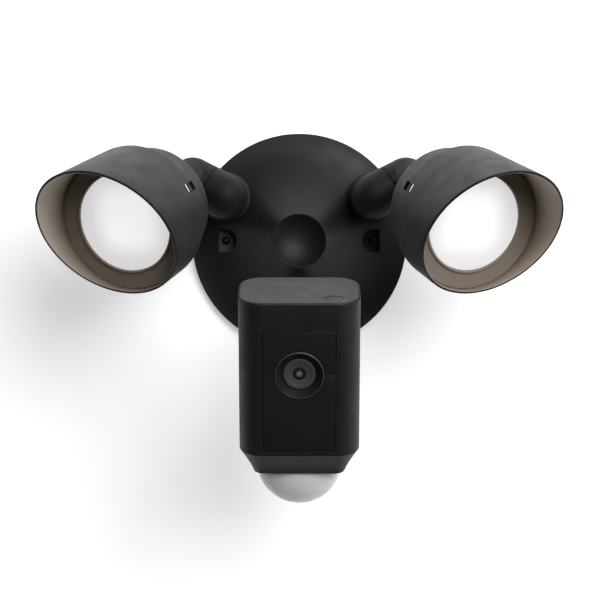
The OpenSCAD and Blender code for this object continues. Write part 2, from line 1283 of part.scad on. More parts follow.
module sensor_board() {
    lens_frame() {
        color("#1f5c3a")
            difference() {
                translate([-13, -13, 16.2])
                    cube([26, 26, 1.5]);
                for (x = [-10, 10])
                    translate([x, 10, 15])
                        cylinder(r = 1, h = 4);
            }
        color("#303338")
            translate([-5, -5, 17.7])
                cube([10, 10, 2]);
    }
    camera_frame() {
        color("#1f5c3a")
            translate([-12, 5, -26.1])
                cube([24, 1.2, 5.6]);
        color("#5a1d2c")
            for (x = [-9, -3, 3, 9])
                translate([x, 2, -23.2])
                    rotate([-90, 0, 0])
                        cylinder(r = 1.5, h = 3, $fn = 24);
    }
}

board_y = 24;

module main_board() {
    camera_frame() {
        color("#1f5c3a")
            translate([-26, board_y, -80])
                cube([52, 1.6, 72]);
        color("#26282b") {
            translate([-8, board_y + 1.6, -72])
                cube([16, 1.4, 14]);
            translate([-22, board_y - 1.2, -70])
                cube([12, 1.2, 12]);
            translate([8, board_y - 2.4, -76])
                cube([14, 2.4, 8]);
        }
        color("#1f5c3a")
            translate([button_x - 5, button_y - 3, -14])
                cube([10, board_y - button_y + 3, 1.2]);
        color("#d0d0cc")
            translate([button_x - 3, button_y - 3, -12.8])
                cube([6, 6, 3.4]);
    }
}

module speaker() {
    color("#2b2b2e")
        camera_frame()
            translate([0, 4, -68]) {
                rotate([-90, 0, 0])
                    cylinder(r = 13, h = 5);
                translate([0, 5, 0])
                    rotate([-90, 0, 0])
                        cylinder(r = 8, h = 5);
            }
}

module top_button() {
    color("#2f2f30")
        camera_frame()
            translate([button_x, button_y, 0])
                difference() {
                    union() {
                        translate([0, 0, -4.4])
                            cylinder(r = button_r, h = 4.3);
                        translate([0, 0, -4.4])
                            cylinder(r = button_flange_r, h = 1.5);
                        translate([0, 0, -8.4])
                            cylinder(r = 1.6, h = 4.2);
                    }
                    translate([0, 0, 15.2])
                        sphere(r = 16);
                }
}

// ------------------------------------------------------------ bottom bezel

bezel_inset = 7.8;
bezel_back_inset = 1;
bezel_curve = 1.2;
bezel_steps = 4;
bezel_foot = cam_h + bezel_h;
dome_rx = 23.4;
dome_ry = 15.5;
dome_rz = 24.4;
dome_y = (cam_d + bezel_inset - bezel_back_inset) / 2;

// Plan of the bezel at a share s of its height, from the top down
module cove_slice(s) {
    cove = 1 - pow(1 - s, bezel_curve);
    inset = bezel_inset * cove;
    back_inset = bezel_back_inset * cove;
    translate([0, (cam_d + inset - back_inset) / 2, -cam_h - s * bezel_h])
        linear_extrude(0.02)
            rounded_rect(cam_w - 2 * inset, cam_d - inset - back_inset, cam_corner - inset, $fn = 32);
}

module cove_solid() {
    for (i = [0:bezel_steps - 1])
        hull() {
            cove_slice(i / bezel_steps);
            cove_slice((i + 1) / bezel_steps);
        }
}

module oval(rx, ry, h) {
    scale([1, ry / rx, 1])
        cylinder(r = rx, h = h);
}

module oval_cut(rx, ry, h) {
    linear_extrude(h)
        polygon([for (a = [0:7.5:352.5]) [rx * cos(a), ry * sin(a)]]);
}

module bottom_bezel() {
    color("#262627")
        camera_frame()
            difference() {
                union() {
                    cove_solid();
                    translate([0, (cam_d + front_wall - shell) / 2, 0])
                        rounded_prism(
                            cam_w - 2 * shell - 0.4,
                            cam_d - shell - front_wall - 0.4,
                            cam_corner - shell - 0.2,
                            [[0, -cam_h], [0, 3 - cam_h]]
                        );
                }
                translate([0, dome_y, -bezel_foot + 2.6])
                    oval_cut(dome_rx + 1.1, dome_ry + 1.1, 20);
                translate([0, dome_y, -bezel_foot - 1])
                    oval_cut(dome_rx + 0.3, dome_ry + 0.3, 6);
            }
}

module ellipsoid(rx, ry, rz) {
    scale([1, ry / rx, rz / rx])
        sphere(r = rx, $fn = 48);
}

module pir_dome() {
    color("#b9b9bd")
        camera_frame()
            translate([0, dome_y, -bezel_foot])
                difference() {
                    union() {
                        intersection() {
                            ellipsoid(dome_rx, dome_ry, dome_rz);
                            translate([-30, -30, -30])
                                cube([60, 60, 30]);
                        }
                        oval(dome_rx, dome_ry, 2.7);
                        translate([0, 0, 2.6])
                            oval(dome_rx + 0.8, dome_ry + 0.8, 1);
                    }
                    intersection() {
                        ellipsoid(dome_rx - 1.4, dome_ry - 1.4, dome_rz - 1.4);
                        translate([-30, -30, -30])
                            cube([60, 60, 30]);
                    }
                    translate([0, 0, -0.01])
                        oval(dome_rx - 1.4, dome_ry - 1.4, 5);
                }
}

module pir_board() {
    camera_frame()
        translate([0, dome_y, -cam_h - 6]) {
            color("#1f5c3a")
                translate([-16, -10, 0])
                    cube([32, 20, 1.6]);
            color("#c4c6c8")
                translate([0, 0, -4])
                    cylinder(r = 4.6, h = 4);
        }
}

// ------------------------------------------------------------------ nodes

wall_gasket();
mounting_bracket();
bracket_inserts();
ground_screw();
power_board();
terminal_block();
canopy();
canopy_screws();
port_collars();
left_arm_elbow();
left_arm_nut();
left_pivot_tube();
left_knuckle();
left_lock_screw();
left_swivel_nut();
left_rear_cap();
left_heat_sink();
left_led_board();
left_reflector();
left_lens_gasket();
left_lens();
left_bezel();
left_hood();
left_lamp_screws();
right_arm_elbow();
right_arm_nut();
right_pivot_tube();
right_knuckle();
right_lock_screw();
right_swivel_nut();
right_rear_cap();
right_heat_sink();
right_led_board();
right_reflector();
right_lens_gasket();
right_lens();
right_bezel();
right_hood();
right_lamp_screws();
camera_stalk();
stalk_nut();
ball_liner();
clamp_ring();
back_cover();
housing_seal();
housing_screws();
camera_housing();
bottom_bezel();
pir_dome();
pir_board();
upper_window();
lower_window();
lens_ring();
lens_barrel();
lens_glass();
sensor_board();
main_board();
speaker();
top_button();
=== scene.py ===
"""Looks of a wall-mounted security camera with two floodlights.

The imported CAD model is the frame. Visible moulded parts are rebuilt here with
rounded edges and smooth curves in the same places; the internal parts keep
their CAD shape. Lengths below are millimetres in the part's own frame and are
turned into metres when a mesh is made.
"""

import json
from math import acos, atan2, cos, degrees, pi, radians, sin, sqrt, tan

import bmesh
import bpy
from mathutils import Matrix, Vector


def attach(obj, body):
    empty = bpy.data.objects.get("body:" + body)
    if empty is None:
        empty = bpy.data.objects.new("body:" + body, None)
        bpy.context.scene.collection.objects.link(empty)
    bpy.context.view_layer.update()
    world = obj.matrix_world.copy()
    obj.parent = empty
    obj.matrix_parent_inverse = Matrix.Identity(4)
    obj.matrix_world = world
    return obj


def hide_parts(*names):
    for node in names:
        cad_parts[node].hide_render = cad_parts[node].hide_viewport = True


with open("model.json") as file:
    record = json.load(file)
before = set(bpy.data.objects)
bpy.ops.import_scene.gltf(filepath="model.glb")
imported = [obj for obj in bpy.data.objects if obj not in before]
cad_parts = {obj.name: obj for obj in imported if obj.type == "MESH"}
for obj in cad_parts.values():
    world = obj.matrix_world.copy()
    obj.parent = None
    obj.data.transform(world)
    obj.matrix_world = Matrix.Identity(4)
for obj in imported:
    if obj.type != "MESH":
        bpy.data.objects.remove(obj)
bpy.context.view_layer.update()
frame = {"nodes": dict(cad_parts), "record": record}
MM = 0.001

# ------------------------------------------------------------------ places


def turn(axis, angle):
    return Matrix.Rotation(radians(angle), 4, axis)


def along(start, end):
    """Local z runs from start to end."""
    d = (end - start).normalized()
    heading, dip = degrees(atan2(d.y, d.x)), degrees(acos(d.z))
    return Matrix.Translation(start) @ turn("Z", heading) @ turn("Y", dip)


PORT_RADIUS = 51.5
PORT_ANGLE = 30.7
PORT_X = PORT_RADIUS * cos(radians(PORT_ANGLE))
PORT_Z = PORT_RADIUS * sin(radians(PORT_ANGLE))
PORTS = ((-PORT_X, PORT_Z), (PORT_X, PORT_Z), (0, -PORT_RADIUS))
BALL_DEPTH = 100.5
CAMERA_FRONT = 170
CAMERA_TOP = -32.9
CAMERA_TILT = 18

WALL = turn("X", 90)
LAMP = Matrix.Translation((-96.15, -115, 9.9)) @ turn("Z", -24.4) @ turn("X", 107.6)
CAMERA = Matrix.Translation((0, -CAMERA_FRONT, CAMERA_TOP)) @ turn("X", CAMERA_TILT)
LENS = CAMERA @ Matrix.Translation((0, 0, -40.5)) @ turn("X", -90)
ELBOW = Vector((-PORT_X, -45, PORT_Z))
KNUCKLE = LAMP @ Vector((0, 0, -85))
LINK = along(ELBOW, KNUCKLE)
LINK_LENGTH = (KNUCKLE - ELBOW).length
SEAM_AT = LINK_LENGTH / 2
CLAMP = LAMP @ Matrix.Translation((-3, 0, -85)) @ turn("X", 90)
ELBOW_PORT = WALL @ Matrix.Translation((-PORT_X, PORT_Z, 0))
STALK_PORT = WALL @ Matrix.Translation((0, -PORT_RADIUS, 0))
TILT_COS, TILT_SIN = cos(radians(CAMERA_TILT)), sin(radians(CAMERA_TILT))
BALL_BACK = (CAMERA_FRONT - BALL_DEPTH) * TILT_COS - (PORT_RADIUS + CAMERA_TOP) * TILT_SIN
BALL_UP = -(CAMERA_FRONT - BALL_DEPTH) * TILT_SIN - (PORT_RADIUS + CAMERA_TOP) * TILT_COS
SOCKET = CAMERA @ Matrix.Translation((0, BALL_BACK, BALL_UP)) @ turn("X", -90)
COVER = CAMERA @ Matrix.Translation((0, 0, -40)) @ turn("X", -90)

# ------------------------------------------------------------ mesh helpers


def rounded(points, radii, steps=5):
    """Closed outline with the corner at each point rounded by its radius."""
    out = []
    for i, (point, radius) in enumerate(zip(points, radii)):
        if not radius:
            out.append(tuple(point))
            continue
        corner = Vector(point)
        back = (Vector(points[i - 1]) - corner).normalized()
        ahead = (Vector(points[(i + 1) % len(points)]) - corner).normalized()
        reach = radius / tan(back.angle(ahead) / 2)
        start, end = corner + back * reach, corner + ahead * reach
        for k in range(steps + 1):
            s = k / steps
            out.append(tuple(start * (1 - s) ** 2 + corner * 2 * s * (1 - s) + end * s * s))
    return out


def arc(centre, radius, start, end, steps):
    return [
        (
            centre[0] + radius * cos(radians(start + (end - start) * i / steps)),
            centre[1] + radius * sin(radians(start + (end - start) * i / steps)),
        )
        for i in range(steps + 1)
    ]


def rounded_rect(w, h, r, steps=12):
    points = []
    for x, y, a in ((1, 1, 0), (-1, 1, 90), (-1, -1, 180), (1, -1, 270)):
        points += arc((x * (w / 2 - r), y * (h / 2 - r)), r, a, a + 90, steps)
    return points


def make(name, verts, faces, place):
    mesh = bpy.data.meshes.new(name)
    mesh.from_pydata([place @ Vector(v) * MM for v in verts], [], faces)
    edit = bmesh.new()
    edit.from_mesh(mesh)
    bmesh.ops.remove_doubles(edit, verts=edit.verts, dist=1e-7)
    bmesh.ops.recalc_face_normals(edit, faces=edit.faces)
    edit.to_mesh(mesh)
    edit.free()
    piece = bpy.data.objects.new(name, mesh)
    bpy.context.scene.collection.objects.link(piece)
    return piece


def lathe(name, outline, place, steps=96):
    """Turns a closed (radius, z) outline about z. A radius may be a pair (rx, ry)."""
    verts, faces, rings = [], [], []
    for radius, z in outline:
        rx, ry = radius if isinstance(radius, tuple) else (radius, radius)
        if rx < 1e-6:
            rings.append([len(verts)] * steps)
            verts.append((0, 0, z))
            continue
        rings.append([len(verts) + k for k in range(steps)])
        angles = [2 * pi * k / steps for k in range(steps)]
        verts += [(rx * cos(a), ry * sin(a), z) for a in angles]
    for i, low in enumerate(rings):
        high = rings[(i + 1) % len(rings)]
        if low[0] == low[1] and high[0] == high[1]:
            continue
        for k in range(steps):
            n = (k + 1) % steps
            corners = [low[k], low[n], high[n], high[k]]
            faces.append(tuple(dict.fromkeys(corners)))
    return make(name, verts, faces, place)


def loft(name, rings, place):
    """Skins closed rings of equal length, each (points, z), and caps both ends."""
    count = len(rings[0][0])
    verts = [(x, y, z) for points, z in rings for x, y in points]
    faces = [tuple(range(count)), tuple(range(len(verts) - count, len(verts)))]
    for i in range(len(rings) - 1):
        for k in range(count):
            n = (k + 1) % count
            a, b = i * count, (i + 1) * count
            faces.append((a + k, a + n, b + n, b + k))
    return make(name, verts, faces, place)


def block(name, low, high, place, round_by=0.0):
    """Box between two corners, its edges rounded when round_by is given."""
    x0, y0, z0 = low
    x1, y1, z1 = high
    verts = [(x, y, z) for x in (x0, x1) for y in (y0, y1) for z in (z0, z1)]
    faces = [(0, 1, 3, 2), (4, 6, 7, 5), (0, 4, 5, 1), (2, 3, 7, 6), (0, 2, 6, 4), (1, 5, 7, 3)]
    piece = make(name, verts, faces, place)
    if round_by:
        edit = bmesh.new()
        edit.from_mesh(piece.data)
        bmesh.ops.bevel(
            edit, geom=edit.edges[:], offset=round_by * MM, segments=3, profile=0.5, affect="EDGES"
        )
        edit.to_mesh(piece.data)
        edit.free()
    return piece


def rod(radius, z0, z1, place, steps=48):
    return lathe("tool", [(0, z0), (radius, z0), (radius, z1), (0, z1)], place, steps)


def ball(radius, place, centre=0.0, steps=96):
    return lathe("tool", arc((0, centre), radius, -90, 90, steps // 2), place, steps)


def combine(piece, tools, how):
    """Applies boolean steps to a piece and removes the tools."""
    for tool in tools:
        step = piece.modifiers.new("step", "BOOLEAN")
        step.operation = how
        step.solver = "EXACT"
        step.object = tool
    bpy.context.view_layer.update()
    result = piece.evaluated_get(bpy.context.evaluated_depsgraph_get())
    mesh = bpy.data.meshes.new_from_object(result)
    piece.modifiers.clear()
    piece.data = mesh
    for tool in tools:
        bpy.data.objects.remove(tool)
    return piece


def join(piece, *tools):
    return combine(piece, tools, "UNION")


def cut(piece, *tools):
    return combine(piece, tools, "DIFFERENCE")


def shade(piece, angle=32):
    edit = bmesh.new()
    edit.from_mesh(piece.data)
    bmesh.ops.remove_doubles(edit, verts=edit.verts, dist=2e-6)
    bmesh.ops.dissolve_degenerate(edit, edges=edit.edges, dist=1e-6)
    edit.to_mesh(piece.data)
    edit.free()
    for face in piece.data.polygons:
        face.use_smooth = True
    piece.data.set_sharp_from_angle(angle=radians(angle))
    return piece


def flipped(piece, name):
    """A mirror image of a left piece, for the right side."""
    twin = piece.copy()
    twin.name = name
    twin.data = piece.data.copy()
    twin.data.transform(Matrix.Scale(-1, 4, (1, 0, 0)))
    twin.data.flip_normals()
    bpy.context.scene.collection.objects.link(twin)
    return twin


# --------------------------------------------------------------- materials


class Nodes:
    """Short names for building one material's nodes."""

    def __init__(self, name):
        self.material = bpy.data.materials.new(name)
        self.material.use_nodes = True
        self.tree = self.material.node_tree
        self.shader = self.tree.nodes["Principled BSDF"]
        self.place = self.add("ShaderNodeTexCoord").outputs["Object"]

    def add(self, kind, **values):
        node = self.tree.nodes.new(kind)
        for key, value in values.items():
            if hasattr(node, key):
                setattr(node, key, value)
            else:
                node.inputs[key.replace("_", " ")].default_value = value
        return node

    def link(self, start, end):
        self.tree.links.new(start, end)

    def noise(self, scale, detail=3.0, roughness=0.5, stretch=None):
        node = self.add("ShaderNodeTexNoise")
        node.inputs["Scale"].default_value = scale
        node.inputs["Detail"].default_value = detail
        node.inputs["Roughness"].default_value = roughness
        source = self.place
        if stretch:
            mapping = self.add("ShaderNodeMapping")
            mapping.inputs["Scale"].default_value = stretch
            self.link(source, mapping.inputs["Vector"])
            source = mapping.outputs["Vector"]
        self.link(source, node.inputs["Vector"])
        return node.outputs["Fac"]

    def spread(self, value, low, high, from_low=0.3, from_high=0.7):
        node = self.add("ShaderNodeMapRange")
        limits = {"From Min": from_low, "From Max": from_high, "To Min": low, "To Max": high}
        for key, number in limits.items():
            node.inputs[key].default_value = number
        self.link(value, node.inputs["Value"])
        return node.outputs["Result"]

    def ramp(self, value, stops):
        node = self.add("ShaderNodeValToRGB")
        ramp = node.color_ramp
        while len(ramp.elements) < len(stops):
            ramp.elements.new(1.0)
        for element, (at, colour) in zip(ramp.elements, stops):
            element.position = at
            element.color = (*colour, 1)
        self.link(value, node.inputs["Fac"])
        return node.outputs["Color"]

    def mix(self, share, first, second, how="MIX"):
        node = self.add("ShaderNodeMix")
        node.data_type = "RGBA"
        node.blend_type = how
        factor, colour_a, colour_b = node.inputs[0], node.inputs[6], node.inputs[7]
        for socket, value in ((factor, share), (colour_a, first), (colour_b, second)):
            if isinstance(value, bpy.types.NodeSocket):
                self.link(value, socket)
            else:
                socket.default_value = (*value, 1) if isinstance(value, tuple) else value
        return node.outputs[2]

    def math(self, how, first, second):
        node = self.add("ShaderNodeMath")
        node.operation = how
        for socket, value in ((node.inputs[0], first), (node.inputs[1], second)):
            if isinstance(value, bpy.types.NodeSocket):
                self.link(value, socket)
            else:
                socket.default_value = value
        return node.outputs[0]

    def bump(self, height, strength, distance):
        node = self.add("ShaderNodeBump")
        node.inputs["Strength"].default_value = strength
        node.inputs["Distance"].default_value = distance
        self.link(height, node.inputs["Height"])
        self.link(node.outputs["Normal"], self.shader.inputs["Normal"])

    def edges(self, low=0.52, high=0.62):
        """1 along convex edges, where a moulded part gets rubbed."""
        shape = self.add("ShaderNodeNewGeometry")
        return self.spread(shape.outputs["Pointiness"], 0, 1, low, high)

    def local(self, place):
        """Object coordinates, in millimetres, in one of the frames above."""
        back = place.inverted() @ Matrix.Scale(1 / MM, 4)
        rows = []
        for axis in range(3):
            dot = self.add("ShaderNodeVectorMath", operation="DOT_PRODUCT")
            dot.inputs[1].default_value = back[axis][:3]
            self.link(self.place, dot.inputs[0])
            rows.append(self.math("ADD", dot.outputs["Value"], back[axis][3]))
        return rows


def scaled(colour, k):
    return tuple(c * k for c in colour)


def plastic(name, colour, rough=0.5, grain=1900.0, depth=0.05, level=0.34, wear=0.3):
    """Moulded plastic: fine eroded grain, cloudy tone, edges rubbed lighter."""
    n = Nodes(name)
    cloud = n.noise(38.0, 4.0)
    speck = n.noise(grain, 2.0, 0.6)
    tone = n.ramp(cloud, [(0.3, scaled(colour, 0.95)), (0.7, scaled(colour, 1.05))])
    tone = n.mix(n.spread(speck, 0.0, 0.18), tone, scaled(colour, 1.9))
    tone = n.mix(n.math("MULTIPLY", n.edges(), 0.35 * wear), tone, scaled(colour, 2.4))
    n.link(tone, n.shader.inputs["Base Color"])
    n.link(n.spread(n.noise(95.0, 3.0), rough - 0.05, rough + 0.05), n.shader.inputs["Roughness"])
    n.shader.inputs["Specular IOR Level"].default_value = level
    n.bump(speck, depth, 0.00012)
    return n.material


def metal(name, colour, rough=0.32, brushed=(1, 1, 14)):
    """Plated or cast metal with fine scratches."""
    n = Nodes(name)
    scratch = n.noise(420.0, 3.0, 0.6, brushed)
    cloud = n.noise(60.0, 4.0)
    n.link(n.ramp(cloud, [(0.3, scaled(colour, 0.8)), (0.7, colour)]), n.shader.inputs["Base Color"])
    n.link(n.spread(scratch, rough - 0.1, rough + 0.14), n.shader.inputs["Roughness"])
    n.shader.inputs["Metallic"].default_value = 1.0
    n.bump(scratch, 0.12, 0.0001)
    return n.material


def circuit(name, colour):
    """Solder mask with copper tracks under it and pale pads."""
    n = Nodes(name)
    track = n.add("ShaderNodeTexBrick")
    track.inputs["Scale"].default_value = 170.0
    track.inputs["Mortar Size"].default_value = 0.06
    track.inputs["Color1"].default_value = (*colour, 1)
    track.inputs["Color2"].default_value = (*scaled(colour, 0.8), 1)
    track.inputs["Mortar"].default_value = (*scaled(colour, 1.9), 1)
    n.link(n.place, track.inputs["Vector"])
    pads = n.add("ShaderNodeTexVoronoi")
    pads.inputs["Scale"].default_value = 260.0
    n.link(n.place, pads.inputs["Vector"])
    dots = n.spread(pads.outputs["Distance"], 1, 0, 0.16, 0.2)
    n.link(n.mix(dots, track.outputs["Color"], (0.55, 0.5, 0.36)), n.shader.inputs["Base Color"])
    n.link(n.spread(n.noise(300.0), 0.28, 0.42), n.shader.inputs["Roughness"])
    n.bump(track.outputs["Fac"], 0.25, 0.0001)
    return n.material


def foam(name, colour, cells=900.0, rough=0.85):
    """Closed-cell foam or rubber with small cells."""
    n = Nodes(name)
    cell = n.add("ShaderNodeTexVoronoi")
    cell.inputs["Scale"].default_value = cells
    n.link(n.place, cell.inputs["Vector"])
    tone = n.ramp(cell.outputs["Distance"], [(0.0, scaled(colour, 0.5)), (0.6, scaled(colour, 1.3))])
    n.link(tone, n.shader.inputs["Base Color"])
    n.link(n.spread(n.noise(120.0), rough - 0.06, rough + 0.06), n.shader.inputs["Roughness"])
    n.bump(cell.outputs["Distance"], 0.5, 0.0002)
    return n.material


def painted_glow_lining(name, place):
    """Inside of the hood: painted lamp glow. The black plastic lit by the lens is painted a warm bronze
    colour, lighter towards the rim.
    """
    n = Nodes(name)
    x, y, z = n.local(place)
    grain = n.noise(1500.0, 2.0, 0.6)
    depth = n.math("ADD", z, n.spread(n.noise(70.0, 3.0), -1.2, 1.2))
    # painted light: these warm colours stand in for lamp light falling on black plastic, lighter towards
    # the rim
    tone = n.ramp(n.spread(depth, 0, 1, 0.0, 42.0), [
        (0.0, (0.16, 0.13, 0.105)), (0.12, (0.27, 0.225, 0.185)),
        (0.45, (0.42, 0.36, 0.30)), (1.0, (0.48, 0.42, 0.355)),
    ])
    tone = n.mix(n.spread(grain, 0.0, 0.14), tone, (0.5, 0.45, 0.38))
    n.link(tone, n.shader.inputs["Base Color"])
    n.link(n.spread(n.noise(90.0, 3.0), 0.5, 0.62), n.shader.inputs["Roughness"])
    n.bump(grain, 0.06, 0.00012)
    return n.material


def lit_lens(name, place):
    """Frosted cover over a warm lit panel, brightest over the light source."""
    n = Nodes(name)
    x, y, z = n.local(place)
    corner = 3.2
    across = n.math("POWER", n.math("ABSOLUTE", n.math("SUBTRACT", x, LIT_AT[0]), 0.0), corner)
    upward = n.math("POWER", n.math("ABSOLUTE", n.math("SUBTRACT", y, LIT_AT[1]), 0.0), corner)
    away = n.math("POWER", n.math("ADD", across, upward), 1 / corner)
    frost = n.noise(700.0, 4.0, 0.6)
    away = n.math("ADD", away, n.spread(frost, -0.5, 0.5))
    glow = n.ramp(n.spread(away, 0, 1, 0.0, 40.0), [
        (0.0, (1.0, 0.995, 0.985)), (0.32, (0.97, 0.962, 0.955)),
        (0.58, (0.74, 0.727, 0.73)), (1.0, (0.66, 0.645, 0.65)),
    ])
    n.link(n.mix(1.0, glow, (0.42, 0.42, 0.42), "MULTIPLY"), n.shader.inputs["Base Color"])
    n.link(glow, n.shader.inputs["Emission Color"])
    n.shader.inputs["Emission Strength"].default_value = LIT_STRENGTH
    n.link(n.spread(n.noise(140.0), 0.42, 0.52), n.shader.inputs["Roughness"])
    n.bump(frost, 0.08, 0.0001)
    return n.material


def clear_dome(name):
    """Milky dome in front of the motion sensor, with a faint fine bump."""
    n = Nodes(name)
    cloud = n.noise(55.0, 3.0)
    milk = n.ramp(cloud, [(0.3, (0.74, 0.74, 0.76)), (0.7, (0.79, 0.79, 0.81))])
    n.link(milk, n.shader.inputs["Base Color"])
    n.link(n.spread(n.noise(200.0), 0.24, 0.32), n.shader.inputs["Roughness"])
    n.shader.inputs["Subsurface Weight"].default_value = 0.25
    n.shader.inputs["Subsurface Radius"].default_value = (0.004, 0.004, 0.004)
    n.shader.inputs["Specular IOR Level"].default_value = 0.35
    n.bump(n.noise(900.0, 2.0), 0.04, 0.0001)
    return n.material


def smoked(name, colour, rough=0.16):
    """Smoked window: glossy, nearly black, with a faint moulding ripple."""
    n = Nodes(name)
    ripple = n.noise(26.0, 2.0)
    tone = n.ramp(ripple, [(0.3, scaled(colour, 0.9)), (0.7, scaled(colour, 1.15))])
    n.link(tone, n.shader.inputs["Base Color"])
    n.link(n.spread(n.noise(310.0, 3.0), rough - 0.03, rough + 0.05), n.shader.inputs["Roughness"])
    n.shader.inputs["Specular IOR Level"].default_value = 0.3
    n.bump(ripple, 0.02, 0.0002)
    return n.material


def coated_glass(name):
    """Coated lens glass with a violet cast that changes over its face, and a painted highlight: a light
    spot at its centre.
    """
    n = Nodes(name)
    cast = n.ramp(n.noise(260.0, 1.0), [(0.3, (0.004, 0.004, 0.006)), (0.7, (0.009, 0.008, 0.012))])
    x, y, z = n.local(LENS)
    away = n.math("SQRT", n.math("ADD", n.math("MULTIPLY", x, x), n.math("MULTIPLY", y, y)), 0.0)
    # painted highlight: the glass is lighter within about 1.2 to 1.9 mm of the centre, standing in for a
    # glint
    inner = n.spread(away, 1, 0, 1.2, 1.9)
    tone = n.mix(n.math("MULTIPLY", inner, 0.8), cast, (0.16, 0.16, 0.17))
    n.link(tone, n.shader.inputs["Base Color"])
    n.link(n.spread(n.noise(500.0), 0.03, 0.07), n.shader.inputs["Roughness"])
    n.shader.inputs["Coat Weight"].default_value = 0.6
    n.shader.inputs["Coat Roughness"].default_value = 0.03
    return n.material


LIT_AT = (3.0, 3.0)
LIT_STRENGTH = 0.82
BLACK = (0.0064, 0.0062, 0.0061)

MATERIALS = {
    "foam": foam("foam_cells", (0.055, 0.055, 0.057)),
    "steel": metal("zinc_plate", (0.62, 0.63, 0.65)),
    "green_screw": metal("green_plate", (0.04, 0.28, 0.1), 0.38),
    "circuit_board": circuit("solder_mask", (0.012, 0.11, 0.05)),
    "terminal": plastic("terminal_body", (0.52, 0.49, 0.4), 0.55, 1500.0),
    "black_canopy": plastic("canopy_black", BLACK, 0.55),
    "dark_screw": metal("blackened_steel", (0.05, 0.05, 0.054), 0.3),
    "black_arm": plastic("arm_black", scaled(BLACK, 0.75), 0.62, level=0.22),
    "black_hood": plastic("hood_black", scaled(BLACK, 0.85), 0.56, level=0.27),
    "black_cap": plastic("cap_black", BLACK, 0.58),
    "aluminium": metal("cast_aluminium", (0.72, 0.73, 0.75), 0.42, (1, 1, 1)),
    "led_white": circuit("white_mask", (0.62, 0.62, 0.58)),
    "reflector": plastic("white_reflector", (0.8, 0.8, 0.79), 0.25, 1500.0),
    "rubber": foam("rubber_skin", (0.022, 0.022, 0.023), 1600.0, 0.75),
    "frosted_lens": None,
    # painted lamp glow: the bezel inside the hood takes the warm colour of the lit lining beside it
    "bronze_bezel": plastic("bezel_painted_glow", (0.21, 0.172, 0.14), 0.5),
    "liner": plastic("nylon", (0.3, 0.28, 0.24), 0.5),
    "black_housing": plastic("housing_black", BLACK, 0.54),
    "dome": clear_dome("milky_dome"),
    "window": smoked("smoked_window", (0.0105, 0.0105, 0.0108), 0.36),
    "lens_trim": plastic("lens_surround", (0.0085, 0.0085, 0.009), 0.62, 2600.0, level=0.12),
    "lens_barrel": plastic("barrel_grey", (0.045, 0.045, 0.047), 0.45, 2600.0),
    "lens_glass": coated_glass("coated_glass"),
    "speaker": plastic("speaker_cone", (0.03, 0.03, 0.032), 0.6),
}
# painted light: a lighter copy of the black plastic for the screw pockets, offsetting the shade the pocket
# walls cast
POCKET_PAINTED_LIGHT = plastic("pocket_floor_painted_light", scaled(BLACK, 4.6), 0.6)
MIRROR = Matrix.Scale(-1, 4, (1, 0, 0))
LAMP_PLACES = {"left": LAMP, "right": MIRROR @ LAMP}
LENS_LOOK = {side: lit_lens(side + "_lit_frost", place) for side, place in LAMP_PLACES.items()}
PAINTED_GLOW_LOOK = {side: painted_glow_lining(side + "_hood_painted_glow", place) for side, place in LAMP_PLACES.items()}
SLOT_OF = {row["node"]: row["material_slot"] for row in frame["record"]["subparts"]}
LOOK_OF_NODE = {side + "_lens": LENS_LOOK[side] for side in ("left", "right")}


def look(node):
    return LOOK_OF_NODE.get(node) or MATERIALS[SLOT_OF[node]]


for node_name, node_object in frame["nodes"].items():
    node_object.data.materials.clear()
    node_object.data.materials.append(look(node_name))


def stands_for(piece, body, node):
    """The piece rides on the body, takes the node's finish and hides the node."""
    shade(piece)
    piece.data.materials.clear()
    piece.data.materials.append(look(node))
    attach(piece, body)
    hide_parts(node)


def both_sides(piece, name, body):
    """A left piece and its mirror image, each standing for its own CAD node."""
    twin = flipped(piece, "right_" + name + "_skin")
    piece.name = "left_" + name + "_skin"
    stands_for(piece, "left_" + body, "left_" + name)
    stands_for(twin, "right_" + body, "right_" + name)
    return piece, twin


# ------------------------------------------------------------------ canopy

CANOPY_RADIUS = 65
RIM_HEIGHT = 5
CANOPY_HEIGHT = 40
DISH_RADIUS = 15.8
DISH_DEPTH = 7
FLARE = 1.8
SHELL = 2.4
FOOT = 1.8
COLLAR_FOOT = 20
COLLAR_TOP = 24
SCREW_X = 44.45


def canopy_height(r):
    share = (CANOPY_RADIUS - r) / (CANOPY_RADIUS - DISH_RADIUS)
    return RIM_HEIGHT + (CANOPY_HEIGHT - RIM_HEIGHT) * share ** FLARE


def dish_height(r):
    curve = (DISH_RADIUS ** 2 + DISH_DEPTH ** 2) / (2 * DISH_DEPTH)
    return CANOPY_HEIGHT - DISH_DEPTH + curve - sqrt(curve ** 2 - r * r)


def canopy_side(lower, rim_round, crest_round):
    """Outer face of the canopy from its rim to its centre, lowered for the inner face."""
    radii = [CANOPY_RADIUS - lower - (CANOPY_RADIUS - lower - DISH_RADIUS) * i / 40 for i in range(41)]
    slope = [(r, canopy_height(r) - lower) for r in radii]
    dish_radii = [DISH_RADIUS * (1 - i / 14) for i in range(1, 15)]
    dish = [(r, dish_height(r) - lower) for r in dish_radii]
    points = [(CANOPY_RADIUS - lower, FOOT if not lower else FOOT - 1)] + slope + dish
    sizes = [0.0] * len(points)
    sizes[1] = rim_round
    sizes[41] = crest_round
    return points, sizes


def d_outline(r, flat, steps=20):
    """Half circle towards the middle, square corners outward."""
    return arc((0, 0), r, -90, 90, steps) + [(-flat, r), (-flat, -r)]



